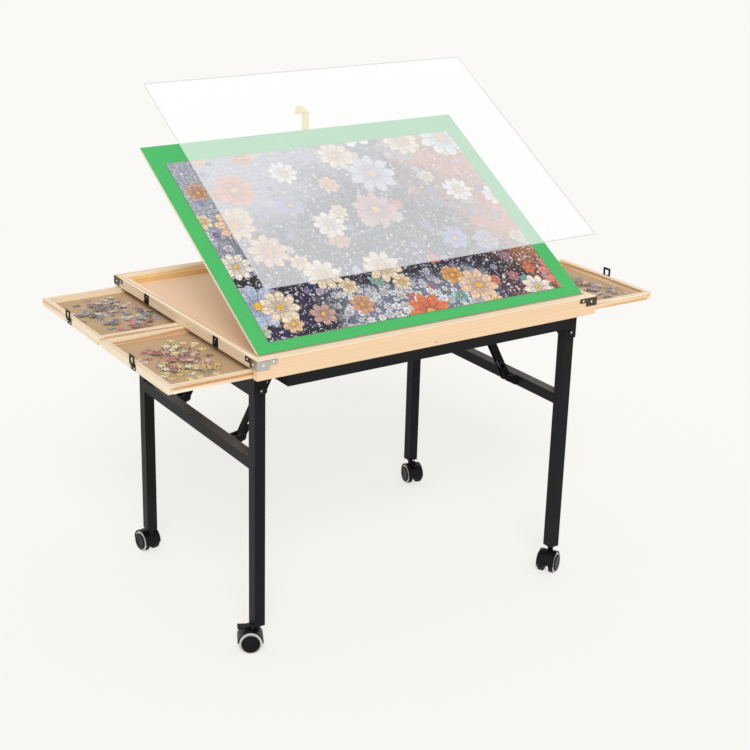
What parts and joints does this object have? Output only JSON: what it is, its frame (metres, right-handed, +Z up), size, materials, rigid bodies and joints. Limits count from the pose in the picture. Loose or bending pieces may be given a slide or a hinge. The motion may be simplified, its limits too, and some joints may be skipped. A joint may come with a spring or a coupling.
{
  "type": "jigsaw puzzle table",
  "caption": "Folding jigsaw puzzle table on casters: pine tray box with pull-out drawers, a tilting felt board under a clear cover, and steel leg frames with braces.",
  "frame": {"origin": "on the floor under the middle of the table, with the open drawers counted in", "axes": "+X to the user's right along the drawers' travel, +Y to the back, +Z up"},
  "size_m": [1.2426, 0.671, 1.1457],
  "materials": {
    "pine": "clear satin lacquer",
    "tray_sheet": "bare fibreboard",
    "drawer_sheet": "bare hardboard",
    "rack_wood": "bare wood",
    "felt": "felt",
    "webbing": "woven",
    "clear_sheet": "clear",
    "bronzed_steel": "satin",
    "hinge_steel": "zinc plated",
    "black_steel": "satin powder coat",
    "bolt_steel": "blackened",
    "caster_plastic": "moulded",
    "caster_tread": "moulded"
  },
  "bodies": {
    "table": {"front_panel": "pine", "rear_panel": "pine", "left_side_rail": "pine", "right_side_rail": "pine", "tray_floor": "tray_sheet", "rear_ledge": "pine", "drawer_divider": "pine", "drawer_runners": "pine", "corner_brackets": "bronzed_steel", "latch_catches": "black_steel", "board_hinge_frame_leaves": "hinge_steel", "tilt_racks": "rack_wood", "long_frame_tubes": "black_steel", "cross_frame_tubes": "black_steel", "leg_channels": "black_steel", "leg_pivot_bolts": "bolt_steel", "brace_guides": "black_steel"},
    "board": {"board_panel": "pine", "felt_sheet": "felt", "board_hinge_board_leaves": "hinge_steel", "pull_ribbon": "webbing", "prop_brackets": "hinge_steel"},
    "prop": {"prop_arms": "hinge_steel", "prop_foot_bar": "hinge_steel"},
    "cover": {"clear_cover": "clear_sheet"},
    "left_rear_drawer": {"left_rear_drawer_frame": "pine", "left_rear_drawer_bottom": "drawer_sheet", "left_rear_latch_plate": "black_steel"},
    "left_rear_latch": {"left_rear_latch_loop": "black_steel"},
    "left_front_drawer": {"left_front_drawer_frame": "pine", "left_front_drawer_bottom": "drawer_sheet", "left_front_latch_plate": "black_steel"},
    "left_front_latch": {"left_front_latch_loop": "black_steel"},
    "right_front_drawer": {"right_front_drawer_frame": "pine", "right_front_drawer_bottom": "drawer_sheet", "right_front_latch_plate": "black_steel"},
    "right_front_latch": {"right_front_latch_loop": "black_steel"},
    "right_rear_drawer": {"right_rear_drawer_frame": "pine", "right_rear_drawer_bottom": "drawer_sheet", "right_rear_latch_plate": "black_steel"},
    "right_rear_latch": {"right_rear_latch_loop": "black_steel"},
    "left_leg_frame": {"left_legs": "black_steel", "left_stretcher": "black_steel", "left_brace_clevises": "black_steel"},
    "left_brace": {"left_braces": "black_steel"},
    "right_leg_frame": {"right_legs": "black_steel", "right_stretcher": "black_steel", "right_brace_clevises": "black_steel"},
    "right_brace": {"right_braces": "black_steel"},
    "front_left_caster": {"front_left_caster_hood": "caster_plastic"},
    "front_left_wheels": {"front_left_caster_wheels": "caster_tread"},
    "front_left_brake": {"front_left_brake_lever": "caster_plastic"},
    "rear_left_caster": {"rear_left_caster_hood": "caster_plastic"},
    "rear_left_wheels": {"rear_left_caster_wheels": "caster_tread"},
    "front_right_caster": {"front_right_caster_hood": "caster_plastic"},
    "front_right_wheels": {"front_right_caster_wheels": "caster_tread"},
    "rear_right_caster": {"rear_right_caster_hood": "caster_plastic"},
    "rear_right_wheels": {"rear_right_caster_wheels": "caster_tread"},
    "rear_right_brake": {"rear_right_brake_lever": "caster_plastic"}
  },
  "joints": [
    {"name": "board_tilt", "type": "hinge", "parent": "table", "child": "board", "pos_m": [0, -0.309, 0.6808], "axis": [1, 0, 0], "range_deg": [-31, 14]},
    {"name": "prop_swing", "type": "hinge", "parent": "board", "child": "prop", "pos_m": [0, -0.07397, 0.81385], "axis": [1, 0, 0], "range_deg": [-28, 62]},
    {"name": "cover_lift", "type": "slide", "parent": "board", "child": "cover", "axis": [0, 0.1715, -0.9852], "range_m": [0, 0.1415]},
    {"name": "left_rear_drawer_slide", "type": "slide", "parent": "table", "child": "left_rear_drawer", "axis": [-1, 0, 0], "range_m": [-0.184, 0.096]},
    {"name": "left_rear_latch_swing", "type": "hinge", "parent": "left_rear_drawer", "child": "left_rear_latch", "pos_m": [-0.6189, 0.1625, 0.6595], "axis": [0, -1, 0], "range_deg": [0, 100]},
    {"name": "left_front_drawer_slide", "type": "slide", "parent": "table", "child": "left_front_drawer", "axis": [-1, 0, 0], "range_m": [-0.184, 0.096]},
    {"name": "left_front_latch_swing", "type": "hinge", "parent": "left_front_drawer", "child": "left_front_latch", "pos_m": [-0.6189, -0.1625, 0.6595], "axis": [0, -1, 0], "range_deg": [0, 100]},
    {"name": "right_front_drawer_slide", "type": "slide", "parent": "table", "child": "right_front_drawer", "axis": [1, 0, 0], "range_m": [-0.184, 0.096]},
    {"name": "right_front_latch_swing", "type": "hinge", "parent": "right_front_drawer", "child": "right_front_latch", "pos_m": [0.6189, -0.1625, 0.6595], "axis": [0, 1, 0], "range_deg": [0, 100]},
    {"name": "right_rear_drawer_slide", "type": "slide", "parent": "table", "child": "right_rear_drawer", "axis": [1, 0, 0], "range_m": [0, 0.28]},
    {"name": "right_rear_latch_swing", "type": "hinge", "parent": "right_rear_drawer", "child": "right_rear_latch", "pos_m": [0.4349, 0.1625, 0.6595], "axis": [0, 1, 0], "range_deg": [0, 100]},
    {"name": "left_leg_fold", "type": "hinge", "parent": "table", "child": "left_leg_frame", "pos_m": [-0.3915, 0, 0.598], "axis": [0, -1, 0], "range_deg": [0, 90]},
    {"name": "left_brace_swing", "type": "hinge", "parent": "left_leg_frame", "child": "left_brace", "pos_m": [-0.357, 0, 0.44], "axis": [0, -1, 0], "range_deg": [-154, 0]},
    {"name": "right_leg_fold", "type": "hinge", "parent": "table", "child": "right_leg_frame", "pos_m": [0.3915, 0, 0.598], "axis": [0, 1, 0], "range_deg": [0, 70]},
    {"name": "right_brace_swing", "type": "hinge", "parent": "right_leg_frame", "child": "right_brace", "pos_m": [0.357, 0, 0.44], "axis": [0, 1, 0], "range_deg": [-119.8, 0]},
    {"name": "front_left_swivel", "type": "hinge", "parent": "left_leg_frame", "child": "front_left_caster", "pos_m": [-0.3915, -0.262, 0.061], "axis": [0, 0, 1], "continuous": true},
    {"name": "front_left_wheel_spin", "type": "hinge", "parent": "front_left_caster", "child": "front_left_wheels", "pos_m": [-0.40397, -0.25564, 0.025], "axis": [-0.454, -0.891, 0], "continuous": true},
    {"name": "front_left_brake_press", "type": "hinge", "parent": "front_left_caster", "child": "front_left_brake", "pos_m": [-0.40397, -0.25564, 0.0565], "axis": [-0.454, -0.891, 0], "range_deg": [-14, 0]},
    {"name": "rear_left_swivel", "type": "hinge", "parent": "left_leg_frame", "child": "rear_left_caster", "pos_m": [-0.3915, 0.262, 0.061], "axis": [0, 0, 1], "continuous": true},
    {"name": "rear_left_wheel_spin", "type": "hinge", "parent": "rear_left_caster", "child": "rear_left_wheels", "pos_m": [-0.39296, 0.27592, 0.025], "axis": [-0.9945, -0.1045, 0], "continuous": true},
    {"name": "front_right_swivel", "type": "hinge", "parent": "right_leg_frame", "child": "front_right_caster", "pos_m": [0.3915, -0.289, 0.061], "axis": [0, 0, 1], "continuous": true},
    {"name": "front_right_wheel_spin", "type": "hinge", "parent": "front_right_caster", "child": "front_right_wheels", "pos_m": [0.37976, -0.29663, 0.025], "axis": [0.5446, -0.8387, 0], "continuous": true},
    {"name": "rear_right_swivel", "type": "hinge", "parent": "right_leg_frame", "child": "rear_right_caster", "pos_m": [0.3915, 0.289, 0.061], "axis": [0, 0, 1], "continuous": true},
    {"name": "rear_right_wheel_spin", "type": "hinge", "parent": "rear_right_caster", "child": "rear_right_wheels", "pos_m": [0.38859, 0.27531, 0.025], "axis": [0.9781, -0.2079, 0], "continuous": true},
    {"name": "rear_right_brake_press", "type": "hinge", "parent": "rear_right_caster", "child": "rear_right_brake", "pos_m": [0.38859, 0.27531, 0.0565], "axis": [0.9781, -0.2079, 0], "range_deg": [-14, 0]}
  ],
  "couplings": [
    {"joint": "prop_swing", "follows": "board_tilt", "ratio": -2},
    {"joint": "left_brace_swing", "follows": "left_leg_fold", "ratio": -1.709},
    {"joint": "right_brace_swing", "follows": "right_leg_fold", "ratio": -1.709}
  ]
}
